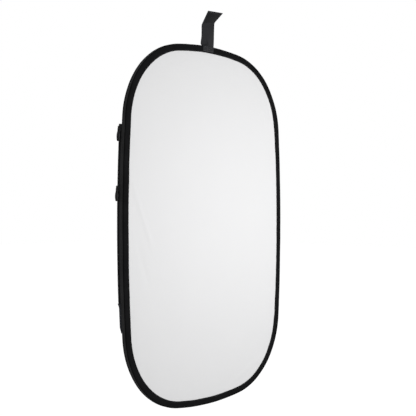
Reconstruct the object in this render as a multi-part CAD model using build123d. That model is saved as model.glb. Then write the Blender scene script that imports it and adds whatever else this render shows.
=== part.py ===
from build123d import *
import os
from math import asin, atan2, degrees, hypot, sqrt

os.makedirs("parts", exist_ok=True)

# A collapsible reflector: an upright oval of sprung steel with a translucent sheet sewn in it,
# inside a reversible zip-off cover with a hanging tab at its top.
# X runs across, Y from the front face to the back, Z up. The origin is the middle of the panel.
# Every size is in millimetres.

# Outline of the outer edge: eight arcs that meet tangentially.
half_width = 300.0
half_height = 450.0
side_radius = 3900.0
end_radius = 853.0
corner_radius = 203.0

# Layers of the cover, from its faces inwards.
binding_thick = 1.2
cloth_thick = 0.6
lining_thick = 0.4
binding_width = 16.5
binding_round = 0.8
gusset_thick = 1.2

# Sprung core.
hoop_width = 8.0
hoop_thick = 0.9
hoop_gap = 1.0
core_clearance = 1.7
sleeve_wall = 0.9
sleeve_face = 0.3
sleeve_width = 11.0
diffuser_thick = 0.8
ferrule_wall = 0.5
ferrule_length = 40.0
rivet_radius = 1.2
rivet_spacing = 18.0

# Zip along the rear of the left side.
zip_end_gap = 17.0
tape_thick = 0.5
tape_width = 9.0
coil_height = 2.2
coil_width = 5.2
coil_parting = 0.1
stop_length = 4.0
stop_overhang = 0.4
coil_margin = 0.4
welt_reach = 14.0
welt_lip = 1.0
garage_length = 68.0
garage_wall = 0.6
garage_past_end = 4.0

# Sliders and their pulls.
slider_length = 12.0
slider_plate = 1.1
slider_play = 0.4
flange_thick = 1.2
flange_play = 0.8
base_thick = 1.2
base_play = 0.3
arch_width = 2.2
arch_length = 9.6
arch_thick = 1.2
pull_thick = 1.6
pull_play = 0.3
arch_play = 0.15
pull_length = 29.0
pull_leg = 1.6
pull_flare = 0.6
window_clear = 1.6
window_play = 0.5
pull_slot_width = 2.4
pull_slot_length = 6.0
lower_slider_height = 90.0

# Hanging tab of doubled webbing.
tab_centre = -9.0
tab_width = 40.0
tab_thick = 2.6
tab_rise = 57.0
tab_end_length = 37.0
tab_lean = 44.0
tab_gap = 0.3
patch_height = 15.0
pad_thick = 0.8
pad_margin = 4.0
fold_play = 0.2

# Places that follow from them.
core_level = hoop_width / 2 + ferrule_wall + sleeve_face
lining_level = core_level + lining_thick
cloth_level = lining_level + cloth_thick
back = cloth_level + binding_thick
front = -back
sleeve_outer = gusset_thick + core_clearance
hoop_outer = sleeve_outer + sleeve_wall + ferrule_wall
zip_band = coil_width + 2 * coil_margin
zip_middle = back + zip_band / 2
zip_back = back + zip_band + welt_lip
slider_width = coil_width + 2 * (flange_play + flange_thick)
pull_width = arch_width + 2 * (window_play + pull_leg)
window_length = arch_length / 2 + window_clear
side_axis = Axis((side_radius - half_width, 0, 0), (0, 1, 0))


def corner_centre():
    """Middle of the corner arc that touches both the side arc and the end arc."""
    side_x = half_width - side_radius
    end_y = half_height - end_radius
    to_side = side_radius - corner_radius
    to_end = end_radius - corner_radius
    apart = hypot(side_x, end_y)
    along = (to_side**2 - to_end**2 + apart**2) / (2 * apart)
    across = sqrt(to_side**2 - along**2)
    step_x, step_y = -side_x / apart, end_y / apart
    both = [
        (side_x + along * step_x + turn * across * step_y, along * step_y - turn * across * step_x)
        for turn in (1, -1)
    ]
    return max(both, key=sum)


corner_x, corner_z = corner_centre()
side_turn = degrees(atan2(corner_z, corner_x - half_width + side_radius))
end_turn = degrees(atan2(corner_z - half_height + end_radius, corner_x))
zip_half = side_radius * corner_z / hypot(corner_z, corner_x - half_width + side_radius) - zip_end_gap


def oval(inset):
    """The outline, drawn in from the outer edge by the inset, as a face."""
    side = half_width - side_radius
    end = half_height - end_radius
    corner_arc = end_turn - side_turn
    corner = corner_radius - inset
    arcs = [
        CenterArc((side, 0), side_radius - inset, -side_turn, 2 * side_turn),
        CenterArc((corner_x, corner_z), corner, side_turn, corner_arc),
        CenterArc((0, end), end_radius - inset, end_turn, 180 - 2 * end_turn),
        CenterArc((-corner_x, corner_z), corner, 180 - end_turn, corner_arc),
        CenterArc((-side, 0), side_radius - inset, 180 - side_turn, 2 * side_turn),
        CenterArc((-corner_x, -corner_z), corner, 180 + side_turn, corner_arc),
        CenterArc((0, -end), end_radius - inset, 180 + end_turn, 180 - 2 * end_turn),
        CenterArc((corner_x, -corner_z), corner, 360 - end_turn, corner_arc),
    ]
    return make_face(arcs)


def sheet(inset, near, far):
    """An oval plate between two depths."""
    return extrude(Plane.XZ.offset(-far) * oval(inset), far - near)


def ring(outer, inner, near, far):
    """An oval ring between two insets and two depths."""
    return extrude(Plane.XZ.offset(-far) * (oval(outer) - oval(inner)), far - near)


def block(xs, ys, zs):
    """A box between pairs of X, Y and Z."""
    sizes = [high - low for low, high in (xs, ys, zs)]
    middle = [(high + low) / 2 for low, high in (xs, ys, zs)]
    return Pos(*middle) * Box(*sizes)


def along_side(section, low, high):
    """Carries a section of (distance in from the left edge, depth) along the side arc."""
    face = make_face(Polyline([(x - half_width, y, 0) for x, y in section], close=True))
    start = degrees(asin(low / side_radius))
    end = degrees(asin(high / side_radius))
    return revolve(face.rotate(side_axis, start), side_axis, end - start)


def box_section(inner, outer, near, far):
    """Corners of a rectangular section for along_side."""
    return [(outer, near), (inner, near), (inner, far), (outer, far)]


def save(name, shape):
    """Writes one sub-part."""
    export_step(shape, f"parts/{name}.step")


# Sprung core: the band, the splice that closes it, the sleeve round it and the sheet in it.


def rivets():
    """Two rivets through the splice, flush with its faces."""
    inner = hoop_outer + hoop_thick + ferrule_wall
    envelope = ring(hoop_outer - ferrule_wall, inner, -hoop_width, hoop_width)
    height = corner_radius / 2
    pins = [
        Pos(side * rivet_spacing / 2, 0, -half_height) * Cylinder(rivet_radius, height) for side in (-1, 1)
    ]
    return [(pin & envelope).solid() for pin in pins]


def splice_box(length):
    """A box round the lowest stretch of the core's edge, where the band's ends meet."""
    heights = (-half_height, corner_radius / 2 - half_height)
    return block((-length / 2, length / 2), (-hoop_width, hoop_width), heights)


def hoop():
    """The flat sprung band, whose ends meet at the bottom."""
    inner = hoop_outer + hoop_thick
    band = ring(hoop_outer, inner, -hoop_width / 2, hoop_width / 2)
    return band - splice_box(hoop_gap) - rivets()


def ferrule():
    """The flat tube pressed over the band's two ends."""
    inner = hoop_outer + hoop_thick
    half = hoop_width / 2
    return splice_outside() - ring(hoop_outer, inner, -half, half) - rivets()


def splice_outside():
    """The whole space that the ferrule takes, band included."""
    half = hoop_width / 2 + ferrule_wall
    wall = ring(hoop_outer - ferrule_wall, hoop_outer + hoop_thick + ferrule_wall, -half, half)
    return wall & splice_box(ferrule_length)


def sleeve(side):
    """Half of the sleeve sewn round the band. side is -1 at the front and 1 at the back."""
    near, far = sorted((0, side * core_level))
    tube = ring(sleeve_outer, sleeve_outer + sleeve_width, near, far)
    band = ring(hoop_outer, hoop_outer + hoop_thick, -hoop_width / 2, hoop_width / 2)
    return tube - band - splice_outside() - diffuser()


def diffuser():
    """The translucent sheet, held between the halves of the sleeve."""
    seam = hoop_outer + hoop_thick + ferrule_wall + sleeve_wall
    return sheet(seam, -diffuser_thick / 2, diffuser_thick / 2)


# Cover: two faces, their bindings and the strip between them.


def face_cloth(side):
    """One outer face of the cover."""
    near, far = sorted((side * lining_level, side * cloth_level))
    return sheet(gusset_thick, near, far)


def face_lining(side):
    """The reflective lining behind one face."""
    near, far = sorted((side * core_level, side * lining_level))
    return sheet(gusset_thick, near, far)


def binding(side):
    """The tape round one face, rounded on its outer corner."""
    near, far = sorted((side * cloth_level, side * back))
    band = ring(0, binding_width, near, far)
    rim = band.faces().sort_by(Axis.Y)[-1 if side > 0 else 0].outer_wire().edges()
    return fillet(rim, binding_round)


def gusset():
    """The strip that joins the two faces all round."""
    return ring(0, gusset_thick, -cloth_level, cloth_level)


# Zip: two tapes with their coils, the stops, the welt behind it and the pocket over its lower end.


def tape(side):
    """One tape of the zip. side is -1 towards the front and 1 towards the back."""
    meeting = zip_middle + side * coil_parting / 2
    reach = zip_middle - tape_width if side < 0 else zip_back
    near, far = sorted((meeting, reach))
    return along_side(box_section(0, -tape_thick, near, far), -zip_half, zip_half)


def coil(side):
    """One row of the zip's coil."""
    inner = zip_middle + side * coil_parting / 2
    outer = zip_middle + side * coil_width / 2
    near, far = sorted((inner, outer))
    section = box_section(-tape_thick, -tape_thick - coil_height, near, far)
    return along_side(section, stop_length - zip_half, zip_half - stop_length)


def stop(side):
    """The stop at one end of the coils."""
    half = coil_width / 2 + stop_overhang
    section = box_section(-tape_thick, -tape_thick - coil_height, zip_middle - half, zip_middle + half)
    low, high = sorted((side * (zip_half - stop_length), side * zip_half))
    return along_side(section, low, high)


def welt():
    """The fold of the back face that the zip's rear tape is sewn to, with a groove behind the coils."""
    groove = 2 * base_play + base_thick
    lip = zip_back - welt_lip
    section = [
        (groove, back),
        (groove, lip),
        (0, lip),
        (0, zip_back),
        (groove + welt_lip, zip_back),
        (welt_reach, back + tape_thick),
        (welt_reach, back),
    ]
    return along_side(section, -zip_half, zip_half)


def garage():
    """The pocket that covers the zip's lower end."""
    near = zip_middle - slider_width / 2
    far = zip_back + garage_wall
    top = -tape_thick - coil_height - base_play
    section = [
        (-tape_thick, near),
        (top - garage_wall, near),
        (top - garage_wall, far),
        (welt_lip, far),
        (welt_lip, zip_back),
        (top, zip_back),
        (top, near + garage_wall),
        (-tape_thick, near + garage_wall),
    ]
    low = -zip_half - garage_past_end
    return along_side(section, low, low + garage_length)


# Sliders: drawn at the middle of the left side, then turned to their heights about the side arc's axis.
plate_low = half_width + tape_thick + coil_height + slider_play
plate_high = plate_low + slider_plate
pull_level = plate_high + pull_play + pull_thick / 2
arch_low = pull_level + pull_thick / 2 + arch_play
arch_high = arch_low + arch_thick
upper_slider_height = zip_half - stop_length - slider_play - slider_length / 2


def at_height(shape, height):
    """Turns a piece drawn at the middle of the left side up to a height on the zip."""
    return shape.rotate(side_axis, degrees(asin(height / side_radius)))


def slider_plan(inset, nose):
    """Outline of a slider: full width at its nose, narrower at its tail."""
    half = slider_width / 2 - inset
    end = slider_length / 2
    corner = flange_thick
    outline = [
        (-half, 0),
        (-half, end - corner),
        (corner - half, end),
        (half - corner, end),
        (half, end - corner),
        (half, 0),
        (half - corner / 2, -end),
        (corner / 2 - half, -end),
    ]
    points = [(0, zip_middle + across, nose * up) for across, up in outline]
    return make_face(Polyline(points, close=True))


def slider_body(nose):
    """The outer half of a slider, with the arch that holds its pull. nose is 1 up and -1 down."""
    skirt = half_width + tape_thick + slider_play
    depth = plate_high - skirt
    shell = extrude(Pos(-skirt, 0, 0) * slider_plan(0, nose), depth, dir=(-1, 0, 0))
    channel = slider_width / 2 - flange_thick
    walls = (zip_middle - channel, zip_middle + channel)
    shell -= block((-plate_low, -skirt + slider_play), walls, (-slider_length, slider_length))
    across = (zip_middle - arch_width / 2, zip_middle + arch_width / 2)
    half = arch_length / 2
    arch = block((-arch_high, -plate_high), across, (-half, half))
    arch = fillet(arch.edges().filter_by(Axis.Y).group_by(Axis.X)[0], arch_thick)
    arch -= block((-arch_low, -plate_high), across, (arch_thick - half, half - arch_thick))
    return (shell + arch).solid()


def slider_base():
    """The inner plate of a slider, which runs in the groove behind the coils."""
    half = coil_width / 2 - slider_play / 2
    across = (zip_middle - half, zip_middle + half)
    low = half_width - base_play - base_thick
    return block((-low - base_thick, -low), across, (-slider_length / 2, slider_length / 2))


def pull():
    """A slider's pull, hanging from the bar that passes under the arch."""
    half = pull_width / 2
    tip = half + pull_flare
    outline = [(-half, 0), (half, 0), (tip, -pull_length), (-tip, -pull_length)]
    points = [(0, zip_middle + across, up) for across, up in outline]
    plan = make_face(Polyline(points, close=True))
    low = pull_level - pull_thick / 2
    plate = extrude(Pos(-low, 0, 0) * plan, pull_thick, dir=(-1, 0, 0))
    plate = fillet(plate.edges().filter_by(Axis.X).group_by(Axis.Z)[0], pull_width / 3)
    gap = arch_width / 2 + window_play
    through = (-pull_level - pull_thick, pull_thick - pull_level)
    plate -= block(through, (zip_middle - gap, zip_middle + gap), (-window_length, pull_thick))
    slot_top = pull_slot_width + pull_slot_length - pull_length
    slot_half = pull_slot_width / 2
    slot_sides = (zip_middle - slot_half, zip_middle + slot_half)
    slot = block(through, slot_sides, (slot_top - pull_slot_length, slot_top))
    plate -= fillet(slot.edges().filter_by(Axis.X), pull_slot_width / 2.1)
    bar = Pos(-pull_level, zip_middle, 0) * Rot(90, 0, 0) * Cylinder(pull_thick / 2, pull_width)
    return (plate + bar).solid()


# Hanging tab: sewn to the front binding, standing up, with its end leaning forwards.
tab_level = front - tab_thick / 2
tab_pivot = half_height + tab_thick / 2 + tab_gap / 2
fold_depth = front - tab_thick - pad_thick / 2 - fold_play
fold_height = half_height + tab_rise
tab_sides = (tab_centre - tab_width / 2, tab_centre + tab_width / 2)
fold_axis = Axis((0, fold_depth, fold_height), (1, 0, 0))


def tab_patch():
    """The foot of the tab, sewn down on the front binding."""
    top = tab_pivot - tab_thick / 2 - tab_gap
    return block(tab_sides, (front - tab_thick, front), (top - patch_height, top))


def tab_strap():
    """The upright part of the tab, round at the foot that it bends at."""
    near, far = tab_level - tab_thick / 2, tab_level + tab_thick / 2
    slab = block(tab_sides, (near, far), (tab_pivot, fold_height - tab_gap))
    foot = Pos(tab_centre, tab_level, tab_pivot) * Rot(0, 90, 0) * Cylinder(tab_thick / 2, tab_width)
    return (slab + foot).solid()


def tab_end():
    """The end of the tab, beyond its fold."""
    near, far = tab_level - tab_thick / 2, tab_level + tab_thick / 2
    low = fold_height + tab_gap
    slab = block(tab_sides, (near, far), (low, low + tab_end_length))
    return slab.rotate(fold_axis, tab_lean)


def tab_pad():
    """The hook-and-loop pad on the front of the tab's end."""
    near = tab_level - tab_thick / 2
    low = fold_height + tab_gap + pad_margin
    high = fold_height + tab_gap + tab_end_length - pad_margin
    sides = (tab_sides[0] + pad_margin, tab_sides[1] - pad_margin)
    return block(sides, (near - pad_thick, near), (low, high)).rotate(fold_axis, tab_lean)


save("hoop_band", hoop())
save("hoop_ferrule", ferrule())
save("hoop_rivets", Compound(children=rivets()))
save("core_sleeve_front", sleeve(-1))
save("core_sleeve_rear", sleeve(1))
save("core_diffuser", diffuser())
save("front_cloth", face_cloth(-1))
save("front_lining", face_lining(-1))
save("rear_cloth", face_cloth(1))
save("rear_lining", face_lining(1))
save("front_binding", binding(-1))
save("rear_binding", binding(1))
save("edge_gusset", gusset())
save("zip_tape_front", tape(-1))
save("zip_tape_rear", tape(1))
save("zip_coil_front", coil(-1))
save("zip_coil_rear", coil(1))
save("zip_top_stop", stop(1))
save("zip_bottom_stop", stop(-1))
save("zip_welt", welt())
save("zip_garage", garage())
for name, height, nose in (("upper", upper_slider_height, 1), ("lower", lower_slider_height, -1)):
    save(f"{name}_slider_body", at_height(slider_body(nose), height))
    save(f"{name}_slider_base", at_height(slider_base(), height))
    save(f"{name}_pull", at_height(pull(), height))
save("tab_patch", tab_patch())
save("tab_strap", tab_strap())
save("tab_end", tab_end())
save("tab_pad", tab_pad())
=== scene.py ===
import math

import bmesh
import bpy
from mathutils import Matrix, Vector, noise


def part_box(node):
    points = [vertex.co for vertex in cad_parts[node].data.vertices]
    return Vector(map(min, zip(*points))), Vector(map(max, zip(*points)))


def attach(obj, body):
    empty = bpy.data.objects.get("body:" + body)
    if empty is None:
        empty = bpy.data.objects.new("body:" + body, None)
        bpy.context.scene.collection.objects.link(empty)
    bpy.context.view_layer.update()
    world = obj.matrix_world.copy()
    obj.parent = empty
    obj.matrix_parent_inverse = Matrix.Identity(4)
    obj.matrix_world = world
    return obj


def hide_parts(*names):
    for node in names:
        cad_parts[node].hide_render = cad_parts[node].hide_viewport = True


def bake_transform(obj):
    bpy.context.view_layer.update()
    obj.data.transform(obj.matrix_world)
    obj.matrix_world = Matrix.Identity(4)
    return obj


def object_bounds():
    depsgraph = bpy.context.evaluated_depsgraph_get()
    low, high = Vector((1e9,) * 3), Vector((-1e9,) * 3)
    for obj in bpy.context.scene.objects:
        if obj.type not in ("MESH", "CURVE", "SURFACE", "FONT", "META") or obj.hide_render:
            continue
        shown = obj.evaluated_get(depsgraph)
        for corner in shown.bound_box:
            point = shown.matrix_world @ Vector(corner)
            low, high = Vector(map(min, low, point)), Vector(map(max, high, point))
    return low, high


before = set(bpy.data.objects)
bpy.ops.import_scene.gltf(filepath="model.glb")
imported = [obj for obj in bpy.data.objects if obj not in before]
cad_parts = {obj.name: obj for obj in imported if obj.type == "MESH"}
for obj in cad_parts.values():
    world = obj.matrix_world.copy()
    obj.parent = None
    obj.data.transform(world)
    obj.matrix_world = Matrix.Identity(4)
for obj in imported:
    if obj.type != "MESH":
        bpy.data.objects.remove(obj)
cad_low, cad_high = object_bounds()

bl_info = {
    "name": "Collapsible Reflector",
    "version": (1, 0, 0),
    "blender": (4, 5, 0),
    "location": "3D View > Sidebar > Reflector",
    "description": "Cloth faces, bindings, zip and hanging tab of a collapsible reflector panel",
    "category": "Add Mesh",
}

MM = 0.001
SEAM_GAP = 0.02 * MM  # points nearer than this are one point
TAPE_PROUD = 0.5 * MM  # how far the zip's tape stands out from the edge
COIL_PROUD = 2.2 * MM  # how far its coil stands out from the tape
BOUND = 0.015  # how much of a face lies flat under its binding
gusset_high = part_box("edge_gusset")[1]
binding_low, binding_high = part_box("front_binding")
tape_low, tape_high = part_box("zip_tape_front")
rear_tape_low, rear_tape_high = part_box("zip_tape_rear")
coil_low, coil_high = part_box("zip_coil_front")
rear_coil_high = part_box("zip_coil_rear")[1]
garage_low, garage_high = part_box("zip_garage")
sleeve_low, sleeve_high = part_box("core_sleeve_front")
diffuser_low, diffuser_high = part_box("core_diffuser")
patch_low, patch_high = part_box("tab_patch")
strap_low, strap_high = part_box("tab_strap")


# Sizes and colours that a user may change.


def length(name, description, default):
    """A length property in metres."""
    return bpy.props.FloatProperty(
        name=name,
        description=description,
        default=default,
        min=0.0,
        unit="LENGTH",
        subtype="DISTANCE",
        precision=5,
    )


def colour(name, description, red, green, blue):
    """A colour property."""
    return bpy.props.FloatVectorProperty(
        name=name,
        description=description,
        default=(red, green, blue, 1),
        size=4,
        min=0,
        max=1,
        subtype="COLOR",
    )


class ReflectorSizes(bpy.types.PropertyGroup):
    """Sizes of the panel and of its trimmings."""

    half_width: length("Half width", "Middle of the panel to its outer edge, across", gusset_high.x)
    half_height: length("Half height", "Middle of the panel to its outer edge, upwards", gusset_high.z)
    side_radius: length("Side radius", "Radius of the outline's long sides", 3.9)
    end_radius: length("End radius", "Radius of the outline's top and bottom", 0.853)
    corner_radius: length("Corner radius", "Radius of the outline's corners", 0.203)
    binding_width: length("Binding width", "Width of the tape that binds each face", 16.5 * MM)
    binding_dome: length("Binding dome", "How far the binding's middle stands proud", 0.7 * MM)
    cloth_thick: length("Cloth thickness", "Thickness of the face cloth", 0.4 * MM)
    stitch_pitch: length("Stitch pitch", "Distance from one stitch to the next", 3.6 * MM)
    thread: length("Thread", "Thickness of the sewing thread", 0.45 * MM)
    tooth_pitch: length("Tooth pitch", "Distance from one turn of the zip's coil to the next", 1.25 * MM)
    tab_rib: length("Tab rib", "Width of one rib of the tab's webbing", 2.0 * MM)
    tab_sideways: length("Tab sideways", "How far the tab's end lies to the right of its foot", 6.2 * MM)


class ReflectorColours(bpy.types.PropertyGroup):
    """Colours of the cloths, tapes and metal."""

    white_cloth: colour("White cloth", "The front face", 0.803, 0.803, 0.808)
    black_cloth: colour("Black cloth", "The back face", 0.021, 0.021, 0.022)
    binding: colour("Binding", "The tape round both faces", 0.009, 0.009, 0.0095)
    # Partly painted light: this colour is set well above the binding's black so that the edge band's side
    # looks as if it is lit more than the front.
    gusset: colour("Gusset", "The cloth strip round the edge", 0.040, 0.040, 0.041)
    webbing: colour("Webbing", "The hanging tab", 0.030, 0.030, 0.032)
    zip_nylon: colour("Zip nylon", "The zip's coils and stops", 0.012, 0.012, 0.013)
    enamel: colour("Enamel", "The sliders and their pulls", 0.010, 0.010, 0.011)
    garage: colour("Garage cloth", "The pocket at the zip's lower end", 0.020, 0.022, 0.028)
    silver: colour("Silver lining", "The reflective lining behind the front face", 0.62, 0.63, 0.64)
    gold: colour("Gold lining", "The reflective lining behind the back face", 0.66, 0.48, 0.18)


# Outline of the panel: eight arcs that meet tangentially, as the frame has them.


def outline_arcs(sizes):
    """The outer edge as arcs of (middle x, middle z, radius, start angle, angle turned)."""
    side = sizes.half_width - sizes.side_radius
    end = sizes.half_height - sizes.end_radius
    to_side = sizes.side_radius - sizes.corner_radius
    to_end = sizes.end_radius - sizes.corner_radius
    apart = math.hypot(side, end)
    along = (to_side**2 - to_end**2 + apart**2) / (2 * apart)
    across = math.sqrt(to_side**2 - along**2)
    step_x, step_z = -side / apart, end / apart
    x, z = max(
        (
            (side + along * step_x + way * across * step_z, along * step_z - way * across * step_x)
            for way in (1, -1)
        ),
        key=sum,
    )
    low = math.atan2(z, x - side)
    high = math.atan2(z - end, x)
    half = math.pi
    corner = sizes.corner_radius
    return [
        (side, 0, sizes.side_radius, -low, 2 * low),
        (x, z, corner, low, high - low),
        (0, end, sizes.end_radius, high, half - 2 * high),
        (-x, z, corner, half - high, high - low),
        (-side, 0, sizes.side_radius, half - low, 2 * low),
        (-x, -z, corner, half + low, high - low),
        (0, -end, sizes.end_radius, half + high, half - 2 * high),
        (x, -z, corner, 2 * half - high, high - low),
    ]


def rim_frame(x, z, radius, angle):
    """Axes at a place on the outline: inwards, towards the back, and along the edge."""
    out_x, out_z = math.cos(angle), math.sin(angle)
    place = Matrix.Identity(4)
    place.col[0] = (-out_x, 0, -out_z, 0)
    place.col[1] = (0, 1, 0, 0)
    place.col[2] = (out_z, 0, -out_x, 0)
    place.col[3] = (x + radius * out_x, 0, z + radius * out_z, 1)
    return place


def rim_stations(sizes, step):
    """Frames all round the outline, each with its distance along it. The last is the first again."""
    stations, run = [], 0.0
    for x, z, radius, start, angle in outline_arcs(sizes):
        count = max(2, round(radius * angle / step))
        for k in range(count):
            share = k / count
            stations.append((rim_frame(x, z, radius, start + angle * share), run + radius * angle * share))
        run += radius * angle
    return stations + [(stations[0][0], run)]


def side_stations(sizes, low, high, step):
    """Frames up the left side, between two heights."""
    count = max(2, round((high - low) / step))
    heights = [low + (high - low) * k / count for k in range(count + 1)]
    middle = sizes.side_radius - sizes.half_width
    radius = sizes.side_radius
    return [
        (rim_frame(middle, 0, radius, math.pi - math.asin(height / radius)), height - low)
        for height in heights
    ]


# Sections, as (distance inwards, depth) in metres.


def rounded_section(inner, outer, near, far, radius, steps=3):
    """A rectangle with round corners."""
    corners = (
        (inner - radius, near + radius, -90),
        (inner - radius, far - radius, 0),
        (outer + radius, far - radius, 90),
        (outer + radius, near + radius, 180),
    )
    points = []
    for s, y, start in corners:
        for k in range(steps + 1):
            angle = math.radians(start + 90 * k / steps)
            points.append((s + radius * math.cos(angle), y + radius * math.sin(angle)))
    return points


def polygon_section(points, radius, steps=3):
    """A polygon in millimetres with each corner rounded."""
    rounded = []
    count = len(points)
    for n, here in enumerate(points):
        corner = Vector(here) * MM
        before = Vector(points[n - 1]) * MM - corner
        after = Vector(points[(n + 1) % count]) * MM - corner
        reach = min(radius, before.length * 0.45, after.length * 0.45)
        start = corner + before.normalized() * reach
        end = corner + after.normalized() * reach
        for k in range(steps + 1):
            t = k / steps
            rounded.append(tuple(start * (1 - t) ** 2 + corner * 2 * t * (1 - t) + end * t**2))
    return rounded


# Mesh work.


def ring_of(bm, points):
    """Vertices at the points, and the edges that close them into a ring."""
    loop = [bm.verts.new(point) for point in points]
    return loop, [bm.edges.new(pair) for pair in zip(loop, loop[1:] + loop[:1])]


def next_ring(bm, edges):
    """Extrudes a ring of edges. Gives all that it made, its new vertices and its new ring."""
    made = bmesh.ops.extrude_edge_only(bm, edges=edges)["geom"]
    verts = [item for item in made if isinstance(item, bmesh.types.BMVert)]
    new = set(verts)
    ring = [item for item in made if isinstance(item, bmesh.types.BMEdge) and new.issuperset(item.verts)]
    return made, verts, ring


def sweep(section, stations, closed):
    """Carries a closed section along the stations. Its UV map runs along the sweep and round the section."""
    bm = bmesh.new()
    across = bm.verts.layers.float.new("across")
    uv = bm.loops.layers.uv.new("UVMap")
    place, run = stations[0]
    loop, edges = ring_of(bm, [place @ Vector((s, y, 0)) for s, y in section])
    total = 0.0
    for n, vert in enumerate(loop):
        total += math.dist(section[n], section[n - 1]) if n else 0.0
        vert[across] = total
    for next_place, next_run in stations[1:]:
        made, verts, edges = next_ring(bm, edges)
        new = set(verts)
        bmesh.ops.transform(bm, matrix=next_place @ place.inverted(), verts=verts)
        for face in made:
            if isinstance(face, bmesh.types.BMFace):
                for corner in face.loops:
                    corner[uv].uv = (next_run if corner.vert in new else run, corner.vert[across])
        place, run = next_place, next_run
    if closed:
        bmesh.ops.remove_doubles(bm, verts=bm.verts, dist=SEAM_GAP)
    else:
        bmesh.ops.holes_fill(bm, edges=[edge for edge in bm.edges if edge.is_boundary], sides=0)
    bmesh.ops.recalc_face_normals(bm, faces=bm.faces)
    return bm


def ripple(place, size, seed=0.0):
    """Smooth, repeatable unevenness between about -1 and 1."""
    return noise.noise(place / size + Vector((seed, seed * 1.7, seed * 0.6)))


def ruffle(bm, size, inwards, depth, seed, weight=lambda vert: 1.0):
    """Moves each vertex a little towards the middle and in depth, so that sewn cloth isn't ruler-straight."""
    for vert in bm.verts:
        to_middle = Vector((-vert.co.x, 0, -vert.co.z)).normalized()
        share = weight(vert)
        shift = to_middle * (inwards * share * ripple(vert.co, size, seed))
        shift.y += depth * share * ripple(vert.co, size, seed + 9)
        vert.co += shift


def make_object(bm, name, material, body, replaced=(), sharp=38.0):
    """Turns a bmesh into a piece that rides on a body."""
    mesh = bpy.data.meshes.new(name)
    for face in bm.faces:
        face.smooth = True
    bm.to_mesh(mesh)
    bm.free()
    mesh.set_sharp_from_angle(angle=math.radians(sharp))
    mesh.materials.append(material)
    piece = bpy.data.objects.new(name, mesh)
    bpy.context.scene.collection.objects.link(piece)
    if body:
        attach(piece, body)
    if replaced:
        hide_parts(*replaced)
    return piece


def bead(size_x, size_y, size_z, bevel, middle=(0, 0, 0)):
    """A small block with its edges taken off."""
    bm = bmesh.new()
    bmesh.ops.create_cube(bm, size=1.0)
    bmesh.ops.scale(bm, vec=(size_x, size_y, size_z), verts=bm.verts)
    bmesh.ops.translate(bm, vec=middle, verts=bm.verts)
    bmesh.ops.bevel(
        bm, geom=bm.edges[:], offset=bevel, segments=1, profile=0.5, affect="EDGES", material=-1
    )
    mesh = bpy.data.meshes.new("bead")
    bm.to_mesh(mesh)
    bm.free()
    return mesh


def repeat(unit, places):
    """Copies a unit mesh to each place and joins the copies."""
    bm = bmesh.new()
    for place in places:
        copy = unit.copy()
        copy.transform(place)
        bm.from_mesh(copy)
        bpy.data.meshes.remove(copy)
    bpy.data.meshes.remove(unit)
    return bm


# Materials.


def add(tree, kind, settings=None, **inputs):
    """Adds a node with its settings, and its inputs by name, with _ for a space."""
    node = tree.nodes.new(kind)
    for name, value in (settings or {}).items():
        setattr(node, name, value)
    for name, value in inputs.items():
        socket = node.inputs[name.replace("_", " ")]
        if isinstance(value, bpy.types.NodeSocket):
            tree.links.new(value, socket)
        else:
            socket.default_value = value
    return node


def maths(tree, operation, first, second=None):
    """A maths node's result."""
    node = tree.nodes.new("ShaderNodeMath")
    node.operation = operation
    for n, value in enumerate((first, second)):
        if isinstance(value, bpy.types.NodeSocket):
            tree.links.new(value, node.inputs[n])
        elif value is not None:
            node.inputs[n].default_value = value
    return node.outputs[0]


def wave(tree, value):
    """Round ridges, one for each whole step of the value."""
    return maths(tree, "ABSOLUTE", maths(tree, "SINE", maths(tree, "MULTIPLY", value, math.pi)))


def new_group(name, inputs, outputs):
    """A shader node group with named sockets, and its two end nodes."""
    group = bpy.data.node_groups.new(name, "ShaderNodeTree")
    for label, kind, default in inputs:
        socket = group.interface.new_socket(label, in_out="INPUT", socket_type=kind)
        if default is not None:
            socket.default_value = default
    for label, kind in outputs:
        group.interface.new_socket(label, in_out="OUTPUT", socket_type=kind)
    return group, group.nodes.new("NodeGroupInput"), group.nodes.new("NodeGroupOutput")


def weave_group():
    """Plain weave: threads that pass over and under each other in the pattern's X and Y."""
    inputs = [("Vector", "NodeSocketVector", None), ("Threads", "NodeSocketFloat", 2000.0)]
    group, given, result = new_group("plain_weave", inputs, [("Height", "NodeSocketFloat")])
    scaled = add(group, "ShaderNodeVectorMath", {"operation": "SCALE"}, Vector=given.outputs["Vector"])
    group.links.new(given.outputs["Threads"], scaled.inputs["Scale"])
    split = add(group, "ShaderNodeSeparateXYZ", Vector=scaled.outputs["Vector"])
    warp = wave(group, split.outputs["X"])
    weft = wave(group, split.outputs["Y"])
    flat = add(group, "ShaderNodeCombineXYZ", X=split.outputs["X"], Y=split.outputs["Y"], Z=0.5)
    over = add(group, "ShaderNodeTexChecker", Vector=flat.outputs["Vector"], Scale=1.0)
    mixed = add(group, "ShaderNodeMix", {"data_type": "FLOAT"}, Factor=over.outputs["Fac"], A=warp, B=weft)
    group.links.new(mixed.outputs["Result"], result.inputs["Height"])
    return group


def rib_group():
    """Ribbed tape: raised ribs in one direction, with a finer thread across them."""
    inputs = [
        ("Vector", "NodeSocketVector", None),
        ("Ribs", "NodeSocketFloat", 900.0),
        ("Threads", "NodeSocketFloat", 2400.0),
    ]
    group, given, result = new_group("ribbed_tape", inputs, [("Height", "NodeSocketFloat")])
    split = add(group, "ShaderNodeSeparateXYZ", Vector=given.outputs["Vector"])
    ribs = maths(group, "MULTIPLY", split.outputs["X"], given.outputs["Ribs"])
    rib = wave(group, ribs)
    threads = maths(group, "MULTIPLY", split.outputs["Y"], given.outputs["Threads"])
    fine = wave(group, threads)
    height = maths(group, "ADD", maths(group, "MULTIPLY", rib, 0.75), maths(group, "MULTIPLY", fine, 0.25))
    group.links.new(height, result.inputs["Height"])
    return group


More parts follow.
